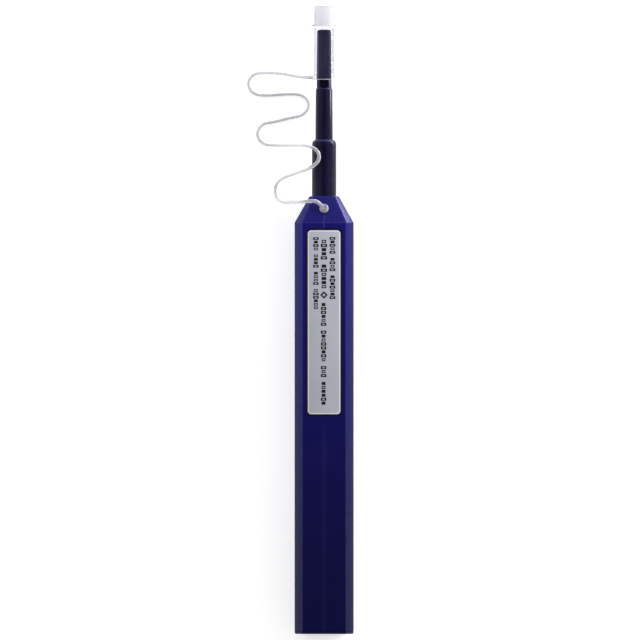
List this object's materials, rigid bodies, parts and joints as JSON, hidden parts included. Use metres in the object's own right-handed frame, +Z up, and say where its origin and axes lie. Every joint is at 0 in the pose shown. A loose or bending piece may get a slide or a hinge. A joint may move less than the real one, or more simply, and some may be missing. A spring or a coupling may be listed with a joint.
{
  "type": "fibre connector cleaning pen",
  "caption": "Octagonal push pen with a sprung nozzle and reel-fed cleaning thread, under a tethered flip-lid guide cap.",
  "frame": {"origin": "on the surface that the pen lies on, under the middle of its length and width", "axes": "+Y along the pen towards its cap, +Z up through the label, +X to the right with the cap away from the viewer"},
  "size_m": [0.0326, 0.1914, 0.0188],
  "materials": {
    "housing_plastic": "moulded plastic, dark navy blue, fine satin",
    "plug_plastic": "moulded plastic, dark navy blue, fine satin",
    "label_film": "silver-grey printed polyester film, satin",
    "rail_plastic": "black acetal, satin",
    "spring_steel": "drawn spring wire",
    "tether_plastic": "natural translucent polypropylene",
    "frame_plastic": "dark grey moulded plastic, satin",
    "nozzle_plastic": "moulded plastic, near-black navy, polished",
    "thread_fibre": "white microfibre thread",
    "rotor_plastic": "natural white acetal",
    "head_plastic": "ivory engineering plastic",
    "gear_plastic": "natural white acetal",
    "reel_plastic": "grey moulded plastic",
    "cap_plastic": "clear polypropylene",
    "lid_plastic": "milky translucent polypropylene"
  },
  "bodies": {
    "housing": {"outer_housing": "housing_plastic", "end_plug": "plug_plastic", "label": "label_film", "rack_rail": "rail_plastic", "return_spring": "spring_steel", "tether_anchor": "tether_plastic", "tether_cord": "tether_plastic"},
    "core": {"core_frame": "frame_plastic", "frame_cover": "frame_plastic", "collar_sleeve": "nozzle_plastic", "nozzle_tube": "nozzle_plastic", "tip_sleeve": "nozzle_plastic", "fresh_strand": "thread_fibre", "used_strand": "thread_fibre"},
    "rotor": {"rotor_shaft": "rotor_plastic"},
    "head": {"cleaning_head": "head_plastic", "thread_loop": "thread_fibre", "head_spring": "spring_steel"},
    "gear": {"drive_gear": "gear_plastic"},
    "takeup": {"takeup_reel": "reel_plastic", "used_thread": "thread_fibre"},
    "supply": {"supply_reel": "reel_plastic", "fresh_thread": "thread_fibre"},
    "cap": {"guide_cap": "cap_plastic"},
    "lid": {"cap_lid": "lid_plastic"}
  },
  "joints": [
    {"name": "push_stroke", "type": "slide", "parent": "housing", "child": "core", "axis": [0, -1, 0], "range_m": [0, 0.009], "stiffness_N_per_m": 450, "springref_m": -0.004, "deforming": ["return_spring", "tether_cord"]},
    {"name": "rotor_turn", "type": "hinge", "parent": "core", "child": "rotor", "pos_m": [0, 0, 0.009], "axis": [0, -1, 0], "range_deg": [0, 180]},
    {"name": "head_press", "type": "slide", "parent": "rotor", "child": "head", "axis": [0, -1, 0], "range_m": [0, 0.0012], "stiffness_N_per_m": 500, "springref_m": -0.0008, "deforming": ["head_spring"]},
    {"name": "gear_turn", "type": "hinge", "parent": "core", "child": "gear", "pos_m": [0, -0.01965, 0.009], "axis": [1, 0, 0], "range_deg": [0, 86]},
    {"name": "takeup_turn", "type": "hinge", "parent": "core", "child": "takeup", "pos_m": [0, -0.01965, 0.009], "axis": [1, 0, 0], "range_deg": [0, 86]},
    {"name": "supply_turn", "type": "hinge", "parent": "core", "child": "supply", "pos_m": [0, -0.04165, 0.009], "axis": [1, 0, 0], "range_deg": [-60, 0]},
    {"name": "cap_pull", "type": "slide", "parent": "core", "child": "cap", "axis": [0, 1, 0], "range_m": [0, 0.03], "deforming": ["tether_cord"]},
    {"name": "lid_open", "type": "hinge", "parent": "cap", "child": "lid", "pos_m": [0.0039, 0.08925, 0.009], "axis": [0, 0, -1], "range_deg": [0, 150]}
  ],
  "couplings": [
    {"joint": "rotor_turn", "follows": "push_stroke", "rad_per_m": 349},
    {"joint": "gear_turn", "follows": "push_stroke", "rad_per_m": 166.67},
    {"joint": "takeup_turn", "follows": "push_stroke", "rad_per_m": 166.67},
    {"joint": "supply_turn", "follows": "push_stroke", "rad_per_m": -114.2}
  ]
}
